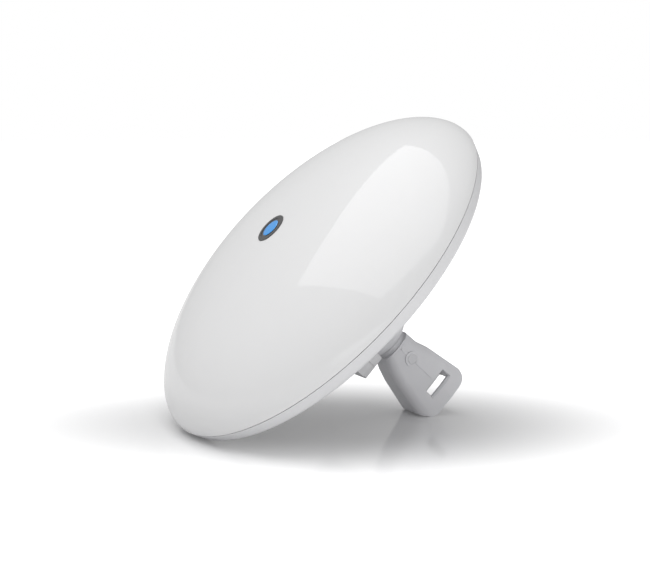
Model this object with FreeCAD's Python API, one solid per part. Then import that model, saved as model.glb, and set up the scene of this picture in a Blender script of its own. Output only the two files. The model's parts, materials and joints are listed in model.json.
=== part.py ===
"""Outdoor wireless bridge: a small round dish antenna on a ball-jointed pole mount.

Every piece is drawn in the antenna's own frame and turned into its resting pose at the end.
In the antenna's frame +Z is the boresight, z = 0 is the seam between radome and rear shell,
+Y runs up along the pole and +X runs sideways. At rest the antenna leans back on its rim and
on the toothed heel of its mount, with the origin on the floor under the middle of the object.
Depths are measured behind the seam.
"""
import FreeCAD, Part
import math
import os

V = FreeCAD.Vector

# ---- overall ----
DISH_RADIUS = 94.5          # radome and rim at the seam
DOME_HEIGHT = 31.0          # radome apex above the seam
SHELL_DEPTH = 17.8          # middle of the rear shell's back behind the seam
SEAM_GAP = 0.3              # reveal between radome and rear shell
FIT = 0.1                   # clearance of a close plastic fit
RUN = 0.25                  # clearance between faces that slide or turn

# ---- screws ----
SCREW_RADIUS = 1.3
SCREW_HEAD_RADIUS = 2.6
SCREW_HEAD_THICK = 1.3
SCREW_RECESS_RADIUS = 1.0
THREAD_FIT = 0.05           # how much thinner a drawn shank is than its hole
BOSS_WALL = 1.6
POST_WALL = 1.3
REFLECTOR_BOSS_WALL = 2.3

# ---- radome ----
DOME_WALL = 2.4
DOME_FULLNESS_R = 2.28      # exponents of the dome's superellipse
DOME_FULLNESS_Z = 1.72
SKIRT_WALL = 1.6
SKIRT_LENGTH = 3.2
WEB_OUTER_HEIGHT = 0.6      # the web that joins skirt and dome
WEB_INNER_HEIGHT = 1.2
WEB_BITE = 0.4
BADGE_RADIUS = 7.6
BADGE_THICK = 0.9
BADGE_PROUD = 0.25
BADGE_DOT_RADIUS = 4.6
BADGE_GROOVE_WIDTH = 1.4
BADGE_GROOVE_DEPTH = 0.15
SEAL_HEIGHT = 1.2
SEAL_WIDTH = 1.4

# ---- rear shell ----
RIM_FLOOR = 2.2             # rim material behind the seal
RIM_DEPTH = SKIRT_LENGTH + SEAL_HEIGHT + RIM_FLOOR
RIM_DRAFT = 2.2             # the band's radius shrinks this much to its back edge
RIM_WALL = 3.5
RIM_EDGE_ROUND = 1.4
SHELL_WALL = 2.2
LEDGE_WIDTH = 2.6
RIB_COUNT = 12
RIB_WIDTH = 1.4
RIB_HEIGHT = 2.4
RIB_START = 36.0

# ---- feed ----
FEED_RADIUS = 7.5
FEED_WALL = 1.0
FEED_FLANGE_WIDTH = 5.5
FEED_FLANGE_RADIUS = FEED_RADIUS + FEED_FLANGE_WIDTH
FEED_FLANGE_THICK = 1.5
FEED_PAD_RADIUS = FEED_FLANGE_RADIUS + 4.0
SUB_THICK = 1.0
SUB_DISH = 1.4
SUB_TO_DOME = 5.1           # air between the sub-reflector and the radome
CONE_TOP = DOME_HEIGHT - DOME_WALL - SUB_TO_DOME - SUB_THICK
CONE_LENGTH = 8.5
FEED_TOP = CONE_TOP - CONE_LENGTH
CONE_RADIUS = 15.0
CONE_EDGE = 1.5
CONE_FOOT = 0.8             # the cone's foot stands this much wider than the tube
CONE_PLUG_LENGTH = 8.0
CONE_TIP_LENGTH = 5.0
CONE_TIP_SHARE = 0.4
SUB_RADIUS = CONE_RADIUS + 1.5

# ---- reflector ----
REFLECTOR_FLANGE = 3.0
REFLECTOR_TO_RIM = 9.4      # free ring between the reflector's flange and the rim's ledge
REFLECTOR_RADIUS = DISH_RADIUS - RIM_WALL - LEDGE_WIDTH - REFLECTOR_TO_RIM - REFLECTOR_FLANGE
REFLECTOR_SHEET = 0.8
REFLECTOR_TO_SHELL = 0.8
VERTEX_DEPTH = SHELL_DEPTH - SHELL_WALL - REFLECTOR_TO_SHELL - REFLECTOR_SHEET
REFLECTOR_RIM_HEIGHT = 10.07    # its edge above the seam
FOCAL_LENGTH = REFLECTOR_RADIUS ** 2 / (4 * (REFLECTOR_RIM_HEIGHT + VERTEX_DEPTH))
REFLECTOR_HOLE = FEED_FLANGE_RADIUS + 1.0
REFLECTOR_SCREW_CIRCLE = 32.0
REFLECTOR_SCREWS = 6
REFLECTOR_SCREW_LENGTH = 5.5

# ---- the stack behind the shell ----
BOARD_STAND = 1.6           # board behind the shell's back
BOARD_FRONT = SHELL_DEPTH + BOARD_STAND
BOARD_THICK = 1.6
BOARD_BACK = BOARD_FRONT + BOARD_THICK
SHIELD_HEIGHT = 2.2
PAD_THICK = 1.0
SPREADER_THICK = 1.6
SPREADER_BACK = BOARD_BACK + SHIELD_HEIGHT + PAD_THICK + SPREADER_THICK

# ---- ball joint ----
BALL_RADIUS = 11.5
SEAT_WALL = 1.5
SEAT_FROM = 14.0            # degrees from the boresight axis
SEAT_TO = 64.0
SEAT_OUTER = BALL_RADIUS + RUN + SEAT_WALL
CUP_RADIUS = SEAT_OUTER + RUN
SOCKET_WALL = 1.8
SOCKET_GAP = 2.4            # air between the heat spreader and the socket
BALL_DEPTH = SPREADER_BACK + SOCKET_GAP + SOCKET_WALL + CUP_RADIUS
SHANK_WALL = 2.2            # of the threaded shank round the ball
SHANK_RADIUS = CUP_RADIUS + SHANK_WALL
CLAMP_START = 0.4           # behind the ball's centre
CLAMP_STRAIGHT = 1.5
CLAMP_LENGTH = 4.3
CLAMP_LIP = 0.65
CLAMP_SPLIT = 1.6
SHANK_END = BALL_DEPTH + CLAMP_STRAIGHT
NUT_WALL = 2.5
NUT_RADIUS = SHANK_RADIUS + NUT_WALL
NUT_GRIP_LENGTH = 6.8
NUT_END_WALL = 1.32
NUT_END_STEP = 0.5          # the nut reaches this far past the clamp ring
NUT_END = BALL_DEPTH + CLAMP_START + CLAMP_LENGTH + NUT_END_STEP
NUT_TAPER_RISE = 2.6
NUT_TAPER_LENGTH = 2.2
NUT_THREAD_FIT = 0.1
NUT_THREAD_RUNOUT = 0.3
NUT_FLUTES = 14
NUT_FLUTE_RADIUS = 2.4
NUT_FLUTE_CENTRE = 1.35     # flute centres outside the nut's radius
WASHER_THICK = 0.6
WASHER_PLAY = 0.05
WASHER_INSET = 0.4
STUD_NECK_RADIUS = 6.6
STUD_LENGTH = 24.0
STUD_RELIEF_RADIUS = 3.0

# ---- rear housing ----
NUT_ACCESS = 2.2            # room for fingers round the nut
NUT_RECESS_RADIUS = NUT_RADIUS + NUT_ACCESS
NUT_RECESS_DEPTH = BALL_DEPTH - 9.0
HOUSING_DEPTH = NUT_RECESS_DEPTH + 1.0      # its back face behind the seam
BAY_DEPTH = NUT_RECESS_DEPTH + 11.0         # the cable bay's back
HOUSING_WALL = 2.0
HOUSING_CORNER = 9.0
HOUSING_INTO_SHELL = 6.0    # drawn this far into the shell, then trimmed to its back
HOUSING_HALF_WIDTH = NUT_RECESS_RADIUS + 3.6
HOUSING_TOP = NUT_RECESS_RADIUS + 2.6
BAY_CORNER = 5.0
NECK_BOTTOM = -NUT_RECESS_RADIUS - 2.2
NECK_TOP = NECK_BOTTOM + 5.1                # the port cover's upper edge
BAY_TOP = NECK_TOP + 5.5
COVER_WALL = 1.6
COVER_FLOOR = 1.65
COVER_BOTTOM = NECK_BOTTOM - RUN - COVER_FLOOR
COVER_GAP = 0.15
FINGER_RADIUS = 14.0
FINGER_DEPTH = 0.8
HOUSING_BOSS_DEPTH = 26.0 - 19.4 + BOARD_FRONT
HOUSING_BOSS_RADIUS = SCREW_RADIUS + BOSS_WALL
HOUSING_SCREW_LENGTH = 8.0
VENT_RADIUS = 2.4
VENT_HEAD_RADIUS = 4.0
VENT_HEAD_THICK = 1.2
VENT_SLOT_WIDTH = 0.8
VENT_SLOT_DEPTH = 0.4

# ---- pole mount ----
ARM_FACE = BALL_DEPTH + 8.1         # its front edge behind the seam
ARM_COLLAR = ARM_FACE + 2.0
ARM_WAIST = ARM_COLLAR + 6.9
ARM_SHOULDER = ARM_WAIST + 6.5
ARM_FOOT_LENGTH = 24.0
ARM_END = ARM_SHOULDER + ARM_FOOT_LENGTH
ARM_NECK_WALL = 1.7
ARM_NECK = STUD_NECK_RADIUS + ARM_NECK_WALL
ARM_NOSE_WALL = 0.8
ARM_WALL = 2.2
ARM_HOLLOW_FROM = ARM_SHOULDER + 3.0
ARM_CORNER = 5.0
ARM_HOLLOW_CORNER = 3.0
ARM_END_ROUND = 8.0
ARM_SIDE_FLARE = 3.2
HEEL_SETBACK = 1.8
HEEL_DEPTH = ARM_END - HEEL_SETBACK     # the lower edge that rests on the floor
HEEL_DROP = 14.11                       # below the boresight
TOE_SETBACK = 4.5
RIDGE_BULGE = 0.9
TOOTH_PITCH = 6.4
TOOTH_DEPTH = 2.0
TOOTH_ROOT = 0.3
TEETH = 4
POLE_RADIUS = 24.0
SADDLE_SAG = 2.4
STRAP_SLOT_SETBACK = 12.3
STRAP_SLOT_WIDTH = 4.5
STRAP_SLOT_LENGTH = 13.0
SLOT_BEVEL_REACH = 2.0
SLOT_BEVEL_SLOPE = 0.7
WEB_LOW = STRAP_SLOT_LENGTH / 2 + 0.6
WEB_THICK = 1.8
SIDE_RIB_WIDTH = 1.0
SIDE_RIB_PROUD = 0.35
PIN_DEPTH = ARM_WAIST + 1.9
PIN_RADIUS = 2.5
PIN_PROUD = 0.5
PIN_BOSS_WALL = 1.1
PIN_BOSS_PROUD = 0.25
PIN_CHAMFER = 0.3

# ---- electronics ----
BOARD_EDGE_GAP = 2.0
BOARD_HALF_WIDTH = HOUSING_HALF_WIDTH - HOUSING_WALL - BOARD_EDGE_GAP
BOARD_TOP = HOUSING_TOP - HOUSING_WALL - BOARD_EDGE_GAP
BOARD_BOTTOM = NECK_BOTTOM + 7.4
JACK_WIDTH = 16.0
JACK_HEIGHT = 12.4
JACK_LENGTH = 12.4
JACK_SINK = 0.8             # the jack's front is sunk into the board's notch
JACK_SET_IN = 0.2
JACK_FRONT = BOARD_FRONT - JACK_SINK
JACK_MIDDLE = JACK_FRONT + JACK_HEIGHT / 2
JACK_LOW = NECK_BOTTOM + JACK_SET_IN
JACK_TOP = JACK_LOW + JACK_LENGTH
JACK_MOUTH_WIDTH = 11.8
JACK_MOUTH_HEIGHT = 8.4
JACK_CAVITY = 11.4
JACK_LATCH_WIDTH = 6.4
JACK_ROOM = 0.5             # air behind the jack
SHIELD_GAP = 1.0
SHIELD_SHARE = 0.75         # the shield's height against its width
SHIELD_SHEET = 0.4
PAD_INSET = 3.0
SPREADER_INSET = 1.0
BUTTON_RADIUS = 1.5
BUTTON_COLLAR = 0.7
BUTTON_GAP = 2.8
BUTTON_X = JACK_WIDTH / 2 + BUTTON_GAP + BUTTON_COLLAR + BUTTON_RADIUS
BUTTON_DEPTH = BOARD_BACK + 5.5
BUTTON_LENGTH = 7.0
BUTTON_TRAVEL_GAP = 1.1
SWITCH_SIZE = 4.4
SWITCH_DEPTH = 2.0          # past the button's axis
OUTLET_RADIUS = 5.6         # cable outlet in the port cover
CABLE_HOLE_RADIUS = 3.8
GROMMET_LIP = 1.2
GROMMET_LIP_THICK = 0.7
LED_COUNT = 3
LED_PITCH = 3.2
LED_SIZE = 1.6
PIPE_RADIUS = 0.9
PIPE_GAP = 1.1
PIPE_LENGTH = 7.4
LED_SPREAD = LED_PITCH * (LED_COUNT - 1) / 2
LED_X = -(JACK_WIDTH / 2 + PIPE_GAP + PIPE_RADIUS + LED_SPREAD)
BAY_HALF_WIDTH = -LED_X + LED_SPREAD + PIPE_RADIUS + PIPE_GAP + HOUSING_WALL + COVER_WALL


# ---- helpers ----
def wire_of(points):
    corners = [V(*p) for p in points]
    return Part.makePolygon(corners + [corners[0]])


def turned(edges):
    """A solid of revolution about Z from a closed outline of edges in the XZ plane."""
    face = Part.Face(Part.Wire(edges))
    return face.revolve(V(0, 0, 0), V(0, 0, 1), 360)


def turned_outline(points):
    """A solid of revolution from (radius, z) corners."""
    face = Part.Face(wire_of([(r, 0, z) for r, z in points]))
    return face.revolve(V(0, 0, 0), V(0, 0, 1), 360)


def line(a, b):
    return Part.makeLine(V(a[0], 0, a[1]), V(b[0], 0, b[1]))


def smooth(points):
    """A curve through (radius, z) points."""
    curve = Part.BSplineCurve()
    curve.interpolate([V(r, 0, z) for r, z in points])
    return curve.toShape()


def cylinder(radius, z_from, z_to, x=0.0, y=0.0):
    low = min(z_from, z_to)
    return Part.makeCylinder(radius, abs(z_to - z_from), V(x, y, low), V(0, 0, 1))


def box(x0, x1, y0, y1, z0, z1):
    return Part.makeBox(x1 - x0, y1 - y0, z1 - z0, V(x0, y0, z0))


def rounded_box(x0, x1, y0, y1, z0, z1, radius):
    """A box with its four edges along Z rounded."""
    body = box(x0, x1, y0, y1, z0, z1)
    along_z = [e for e in body.Edges if abs(e.tangentAt(e.FirstParameter).z) > 0.99]
    return body.makeFillet(radius, along_z)


def around(count, radius, start=0.0):
    """Places on a circle about the boresight."""
    step = 2 * math.pi / count
    first = math.radians(start)
    return [(radius * math.cos(first + i * step), radius * math.sin(first + i * step))
            for i in range(count)]


def group(solids):
    return Part.makeCompound(solids)


def ball_at(radius):
    return Part.makeSphere(radius, V(0, 0, -BALL_DEPTH), V(0, 0, 1), -90, 90, 360)


def along_y(radius, length, x, y, depth):
    """A cylinder that runs up along Y from y, at a depth behind the seam."""
    return Part.makeCylinder(radius, length, V(x, y, -depth), V(0, 1, 0))


def along_x(radius, half, depth):
    """A cylinder across the middle plane, reaching half to each side."""
    return Part.makeCylinder(radius, 2 * half, V(-half, 0, -depth), V(1, 0, 0))


def leaning(shape):
    """Turns a piece from the antenna's frame into the resting pose about the seam's centre."""
    turned_shape = shape.copy()
    turned_shape.rotate(V(0, 0, 0), V(1, 0, 0), 90 - LEAN)
    return turned_shape


# ---- shared profiles ----
def dome_height(r, radius, height):
    share = min(1.0, r / radius)
    return height * (1 - share ** DOME_FULLNESS_R) ** (1 / DOME_FULLNESS_Z)


def dome_curve(radius, height, base):
    """The dome's outline from its rim at z = base to its apex."""
    steps = 14
    points = []
    for i in range(steps + 1):
        angle = math.pi / 2 * i / steps
        r = radius * max(0.0, math.cos(angle)) ** (2 / DOME_FULLNESS_R) if i < steps else 0.0
        points.append((r, base + dome_height(r, radius, height)))
    return smooth(points)


def shell_back(r):
    """z of the rear shell's outer back at radius r."""
    rim_radius = DISH_RADIUS - RIM_DRAFT
    rise = (SHELL_DEPTH - RIM_DEPTH) * (r / rim_radius) ** 2
    return -SHELL_DEPTH + rise


def shell_curve(r_from, r_to, lift=0.0):
    steps = 8
    radii = [r_from + (r_to - r_from) * i / steps for i in range(steps + 1)]
    return smooth([(r, shell_back(r) + lift) for r in radii])


def reflector_z(r):
    return -VERTEX_DEPTH + r * r / (4 * FOCAL_LENGTH)


def reflector_curve(r_from, r_to, drop=0.0):
    steps = 8
    radii = [r_from + (r_to - r_from) * i / steps for i in range(steps + 1)]
    return smooth([(r, reflector_z(r) - drop) for r in radii])


def space_behind_shell():
    """Everything behind the rear shell's outer face, for trimming what sits on it."""
    edge = DISH_RADIUS - RIM_DRAFT - RIM_EDGE_ROUND
    far = -ARM_END
    return turned([shell_curve(0, edge), line((edge, shell_back(edge)), (edge, far)),
                   line((edge, far), (0, far)), line((0, far), (0, -SHELL_DEPTH))])


# ---- radome ----
SKIRT_OUTER = DISH_RADIUS - RIM_WALL - FIT
SKIRT_END = -SKIRT_LENGTH


def radome():
    base = SEAM_GAP / 2
    inner_r = DISH_RADIUS - DOME_WALL
    inner_h = DOME_HEIGHT - DOME_WALL
    outer = dome_curve(DISH_RADIUS, DOME_HEIGHT - base, base)
    inner = dome_curve(inner_r, inner_h - base, base)
    shell = turned([line((inner_r, base), (DISH_RADIUS, base)), outer,
                    line((0, DOME_HEIGHT), (0, inner_h)), inner])
    skirt = turned_outline([(SKIRT_OUTER - SKIRT_WALL, SKIRT_END), (SKIRT_OUTER, SKIRT_END),
                            (SKIRT_OUTER, base + WEB_INNER_HEIGHT),
                            (SKIRT_OUTER - SKIRT_WALL, base + WEB_INNER_HEIGHT)])
    web_r = inner_r + WEB_BITE
    web = turned_outline([(SKIRT_OUTER - SKIRT_WALL, base), (web_r, base),
                          (web_r, base + WEB_OUTER_HEIGHT),
                          (SKIRT_OUTER - SKIRT_WALL, base + WEB_INNER_HEIGHT)])
    pocket = cylinder(BADGE_RADIUS + FIT, DOME_HEIGHT + BADGE_PROUD - BADGE_THICK, DOME_HEIGHT + 1)
    return shell.fuse([skirt, web]).removeSplitter().cut(pocket)


def front_badge():
    low = DOME_HEIGHT + BADGE_PROUD - BADGE_THICK
    disc = cylinder(BADGE_RADIUS, low, low + BADGE_THICK)
    top = low + BADGE_THICK
    groove = cylinder(BADGE_DOT_RADIUS + BADGE_GROOVE_WIDTH, top - BADGE_GROOVE_DEPTH, top)
    dot = cylinder(BADGE_DOT_RADIUS, top - BADGE_GROOVE_DEPTH, top)
    return disc.cut(groove.cut(dot))


def radome_seal():
    outer = SKIRT_OUTER - FIT
    low = SKIRT_END - SEAL_HEIGHT
    return turned_outline([(outer - SEAL_WIDTH, low), (outer, low),
                           (outer, SKIRT_END), (outer - SEAL_WIDTH, SKIRT_END)])


# ---- rear shell ----
RIM_BACK_RADIUS = DISH_RADIUS - RIM_DRAFT
RIM_TURN_IN = RIM_BACK_RADIUS - RIM_EDGE_ROUND
RIM_INNER = DISH_RADIUS - RIM_WALL
LEDGE_RADIUS = RIM_INNER - LEDGE_WIDTH


def rim_side_end():
    """Where the rim's straight side ends, as (radius, z)."""
    straight = RIM_DEPTH - RIM_EDGE_ROUND
    return (DISH_RADIUS - RIM_DRAFT / RIM_DEPTH * straight, -straight)


def rim_corner():
    """The rounded edge between the rim's side and the shell's back."""
    side = rim_side_end()
    bulge_in = 0.25 * RIM_EDGE_ROUND
    bulge_up = 0.22 * RIM_EDGE_ROUND
    return Part.Arc(V(side[0], 0, side[1]), V(RIM_BACK_RADIUS - bulge_in, 0, -RIM_DEPTH + bulge_up),
                    V(RIM_TURN_IN, 0, shell_back(RIM_TURN_IN))).toShape()


def rim_section():
    """The rear shell without bosses and holes."""
    top = -SEAM_GAP / 2
    inner_r = RIM_INNER
    ledge_z = SKIRT_END - SEAL_HEIGHT
    ledge_r = LEDGE_RADIUS
    inner_z = shell_back(ledge_r) + SHELL_WALL
    return turned([line((inner_r, top), (DISH_RADIUS, top)),
                   line((DISH_RADIUS, top), rim_side_end()), rim_corner(),
                   shell_curve(RIM_TURN_IN, 0),
                   line((0, -SHELL_DEPTH), (0, -SHELL_DEPTH + SHELL_WALL)),
                   shell_curve(0, ledge_r, SHELL_WALL),
                   line((ledge_r, inner_z), (ledge_r, ledge_z)),
                   line((ledge_r, ledge_z), (inner_r, ledge_z)),
                   line((inner_r, ledge_z), (inner_r, top))])


HOUSING_SCREW_X = HOUSING_HALF_WIDTH - HOUSING_WALL - SCREW_HEAD_RADIUS
HOUSING_SCREW_YS = (HOUSING_TOP - HOUSING_WALL - SCREW_HEAD_RADIUS - 2.0, NECK_TOP + 11.5)
HOUSING_SCREW_PLACES = [(sx * HOUSING_SCREW_X, y) for sx in (-1, 1) for y in HOUSING_SCREW_YS]
BOARD_SCREW_X = HOUSING_SCREW_X - HOUSING_BOSS_RADIUS - SCREW_HEAD_RADIUS - 0.3
BOARD_SCREW_YS = (HOUSING_SCREW_YS[0] - 0.6, HOUSING_SCREW_YS[1] + 4.0)
BOARD_SCREW_PLACES = [(sx * BOARD_SCREW_X, y) for sx in (-1, 1) for y in BOARD_SCREW_YS]
REFLECTOR_SCREW_PLACES = around(REFLECTOR_SCREWS, REFLECTOR_SCREW_CIRCLE, 30)
SHELL_FLOOR = -SHELL_DEPTH + SHELL_WALL


def housing_screw_seat(x, y):
    """z of the flat that is sunk into the shell's curved inner face for a screw's head."""
    return shell_back(math.hypot(x, y) - SCREW_HEAD_RADIUS) + SHELL_WALL


def under_reflector():
    """Everything behind the reflector's rear face."""
    edge = REFLECTOR_RADIUS
    top = reflector_z(edge) - REFLECTOR_SHEET
    far = -BALL_DEPTH
    return turned([reflector_curve(0, edge, REFLECTOR_SHEET), line((edge, top), (edge, far)),
                   line((edge, far), (0, far)), line((0, far), (0, reflector_z(0) - REFLECTOR_SHEET))])


def shell_ribs():
    ribs = []
    for i in range(RIB_COUNT):
        rib = box(RIB_START, LEDGE_RADIUS, -RIB_WIDTH / 2, RIB_WIDTH / 2, -SHELL_DEPTH, 0)
        rib.rotate(V(0, 0, 0), V(0, 0, 1), (i + 0.5) * 360 / RIB_COUNT)
        ribs.append(rib.common(rib_space()))
    return ribs


def shell_holes():
    low = -SHELL_DEPTH - 1
    thread = SCREW_RADIUS
    holes = [cylinder(thread, -BOARD_FRONT - 1, SHELL_FLOOR - 0.8, x, y) for x, y in BOARD_SCREW_PLACES]
    holes += [cylinder(thread, -SHELL_DEPTH, 0, x, y) for x, y in REFLECTOR_SCREW_PLACES]
    holes += [cylinder(thread + FIT, low, 0, x, y) for x, y in HOUSING_SCREW_PLACES]
    holes += [cylinder(SCREW_HEAD_RADIUS + RUN, housing_screw_seat(x, y), 0, x, y)
              for x, y in HOUSING_SCREW_PLACES]
    holes.append(cylinder(FEED_RADIUS + FIT, low, 0))
    return holes


def rear_shell():
    shell = rim_section().cut(cylinder(FEED_PAD_RADIUS, SHELL_FLOOR, 0))
    space = under_reflector()
    bosses = [cylinder(SCREW_RADIUS + REFLECTOR_BOSS_WALL, SHELL_FLOOR, 0, x, y).common(space)
              for x, y in REFLECTOR_SCREW_PLACES]
    posts = [cylinder(SCREW_RADIUS + POST_WALL, -BOARD_FRONT, SHELL_FLOOR - 0.9, x, y)
             for x, y in BOARD_SCREW_PLACES]
    return shell.fuse(bosses + shell_ribs() + posts).cut(shell_holes())


def rib_space():
    """Low stiffening ribs stand this far up inside the shell."""
    inner = RIB_START - 6
    outer = LEDGE_RADIUS + 0.5
    low = SHELL_WALL * 0.5
    high = low + RIB_HEIGHT
    return turned([shell_curve(inner, outer, low),
                   line((outer, shell_back(outer) + low), (outer, shell_back(outer) + high)),
                   shell_curve(outer, inner, high),
                   line((inner, shell_back(inner) + high), (inner, shell_back(inner) + low))])


# ---- reflector and feed ----
def dish_reflector():
    edge = REFLECTOR_RADIUS
    top = reflector_z(edge)
    outer = edge + REFLECTOR_FLANGE
    sheet = REFLECTOR_SHEET
    hole = REFLECTOR_HOLE
    dish = turned([reflector_curve(hole, edge),
                   line((edge, top), (outer, top)),
                   line((outer, top), (outer, top - sheet)),
                   line((outer, top - sheet), (edge, top - sheet)),
                   reflector_curve(edge, hole, sheet),
                   line((hole, reflector_z(hole) - sheet), (hole, reflector_z(hole)))])
    holes = [cylinder(SCREW_RADIUS + 2 * FIT, -BALL_DEPTH, 0, x, y) for x, y in REFLECTOR_SCREW_PLACES]
    return dish.cut(holes)


def pan_screw(x, y, head_z, length, toward=1):
    """A pan head screw: its head stands on head_z and its shank runs the other way."""
    head = cylinder(SCREW_HEAD_RADIUS, head_z, head_z + toward * SCREW_HEAD_THICK, x, y)
    shank = cylinder(SCREW_RADIUS - THREAD_FIT, head_z, head_z - toward * length, x, y)
    recess = cylinder(SCREW_RECESS_RADIUS, head_z + toward * SCREW_HEAD_THICK * 0.5,
                      head_z + toward * SCREW_HEAD_THICK, x, y)
    return head.fuse(shank).cut(recess)


def reflector_screws():
    seat = reflector_z(REFLECTOR_SCREW_CIRCLE + SCREW_HEAD_RADIUS)
    return group([pan_screw(x, y, seat, REFLECTOR_SCREW_LENGTH) for x, y in REFLECTOR_SCREW_PLACES])


def feed_tube():
    low = -BOARD_FRONT
    pad = SHELL_FLOOR
    bore = FEED_RADIUS - FEED_WALL
    return turned_outline([(bore, low), (FEED_RADIUS, low), (FEED_RADIUS, pad),
                           (FEED_FLANGE_RADIUS, pad), (FEED_FLANGE_RADIUS, pad + FEED_FLANGE_THICK),
                           (FEED_RADIUS, pad + FEED_FLANGE_THICK), (FEED_RADIUS, FEED_TOP),
                           (bore, FEED_TOP)])


def feed_cone():
    plug = FEED_RADIUS - FEED_WALL
    plug_low = FEED_TOP - CONE_PLUG_LENGTH
    return turned_outline([(0, plug_low - CONE_TIP_LENGTH), (plug * CONE_TIP_SHARE, plug_low),
                           (plug, plug_low), (plug, FEED_TOP),
                           (FEED_RADIUS + CONE_FOOT, FEED_TOP), (CONE_RADIUS, CONE_TOP - CONE_EDGE),
                           (CONE_RADIUS, CONE_TOP), (0, CONE_TOP - SUB_DISH)])


def sub_reflector():
    return turned_outline([(0, CONE_TOP - SUB_DISH), (CONE_RADIUS, CONE_TOP), (SUB_RADIUS, CONE_TOP),
                           (SUB_RADIUS, CONE_TOP + SUB_THICK), (CONE_RADIUS, CONE_TOP + SUB_THICK),
                           (0, CONE_TOP - SUB_DISH + SUB_THICK)])


# ---- rear housing ----
LEAST_ROUND = 0.5
HOUSING_FRONT = -SHELL_DEPTH + HOUSING_INTO_SHELL


def bay_corner_block(y0, y1, inset, z_front, z_back):
    """A block of the bay's cross-section, whose two rear corners are rounded along Y."""
    half = BAY_HALF_WIDTH - inset
    body = box(-half, half, y0, y1, z_back, z_front)
    rear = [e for e in body.Edges if abs(e.tangentAt(e.FirstParameter).y) > 0.99
            and e.CenterOfMass.z < (z_back + z_front) / 2]
    return body.makeFillet(max(LEAST_ROUND, BAY_CORNER - inset), rear)


def housing_outer():
    main = rounded_box(-HOUSING_HALF_WIDTH, HOUSING_HALF_WIDTH, NECK_TOP, HOUSING_TOP,
                       -HOUSING_DEPTH, HOUSING_FRONT, HOUSING_CORNER)
    lower = bay_corner_block(NECK_TOP, BAY_TOP, 0, HOUSING_FRONT, -BAY_DEPTH)
    return main.fuse(lower)


def housing_inner():
    wall = HOUSING_WALL
    main = rounded_box(-HOUSING_HALF_WIDTH + wall, HOUSING_HALF_WIDTH - wall,
                       NECK_TOP + wall, HOUSING_TOP - wall,
                       -NUT_RECESS_DEPTH + wall, HOUSING_FRONT + 1, HOUSING_CORNER - wall)
    inset = wall + COVER_WALL
    lower = bay_corner_block(NECK_BOTTOM + wall, BAY_TOP - wall, inset,
                             -JACK_FRONT + FIT, -JACK_FRONT - JACK_HEIGHT - JACK_ROOM)
    return main.fuse(lower)


def socket_cup():
    """The ball's cup and the threaded shank round it, still solid."""
    cup = ball_at(CUP_RADIUS + SOCKET_WALL).common(
        cylinder(SHANK_RADIUS + NUT_ACCESS, -NUT_RECESS_DEPTH, -BALL_DEPTH + 2 * CUP_RADIUS))
    shank = cylinder(SHANK_RADIUS, -NUT_RECESS_DEPTH + HOUSING_WALL * 0.8, -SHANK_END)
    return [cup, shank]


def housing_bosses():
    edge = 0.5
    walls = rounded_box(-HOUSING_HALF_WIDTH + edge, HOUSING_HALF_WIDTH - edge, NECK_TOP + 1,
                        HOUSING_TOP - edge, -HOUSING_BOSS_DEPTH, HOUSING_FRONT, HOUSING_CORNER - edge)
    return [cylinder(HOUSING_BOSS_RADIUS, -HOUSING_BOSS_DEPTH, HOUSING_FRONT, x, y).common(walls)
            for x, y in HOUSING_SCREW_PLACES]


def housing_holes():
    """Screw holes, the jack's mouth, and the holes for button, lamps and vent."""
    low = NECK_BOTTOM - 1
    reach = HOUSING_WALL + 4
    half = JACK_WIDTH / 2 + FIT
    holes = [cylinder(SCREW_RADIUS, -HOUSING_BOSS_DEPTH + 1, 0, x, y) for x, y in HOUSING_SCREW_PLACES]
    holes.append(box(-half, half, low, low + reach,
                     -JACK_FRONT - JACK_HEIGHT - FIT, -JACK_FRONT + FIT))
    holes.append(along_y(BUTTON_RADIUS + RUN, reach, BUTTON_X, low, BUTTON_DEPTH))
    holes += [along_y(PIPE_RADIUS, reach, x, low, BUTTON_DEPTH) for x in led_places()]
    holes.append(along_y(VENT_RADIUS, reach, 0, HOUSING_TOP - HOUSING_WALL - 1, VENT_DEPTH))
    return holes


def rear_housing():
    """The housing behind the dish: electronics bay, cable bay and the ball's socket."""
    neck_inset = COVER_WALL + RUN
    neck = bay_corner_block(NECK_BOTTOM, NECK_TOP + 1, neck_inset,
                            HOUSING_FRONT, -BAY_DEPTH + neck_inset)
    outer = housing_outer().fuse(neck).removeSplitter()
    recess = cylinder(NUT_RECESS_RADIUS, -NUT_RECESS_DEPTH, -ARM_END)
    body = outer.cut(recess).cut(housing_inner())
    body = body.fuse(socket_cup()).removeSplitter()
    body = body.cut(ball_at(CUP_RADIUS).fuse(cylinder(CUP_RADIUS, -BALL_DEPTH, -ARM_END)))
    body = body.fuse(housing_bosses()).removeSplitter()
    return body.common(space_behind_shell()).cut(housing_holes())


def led_places():
    return [LED_X + LED_PITCH * (i - (LED_COUNT - 1) / 2) for i in range(LED_COUNT)]


def housing_screws():
    """Screws from inside the shell into the housing."""
    return group([pan_screw(x, y, housing_screw_seat(x, y), HOUSING_SCREW_LENGTH)
                  for x, y in HOUSING_SCREW_PLACES])


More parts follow.
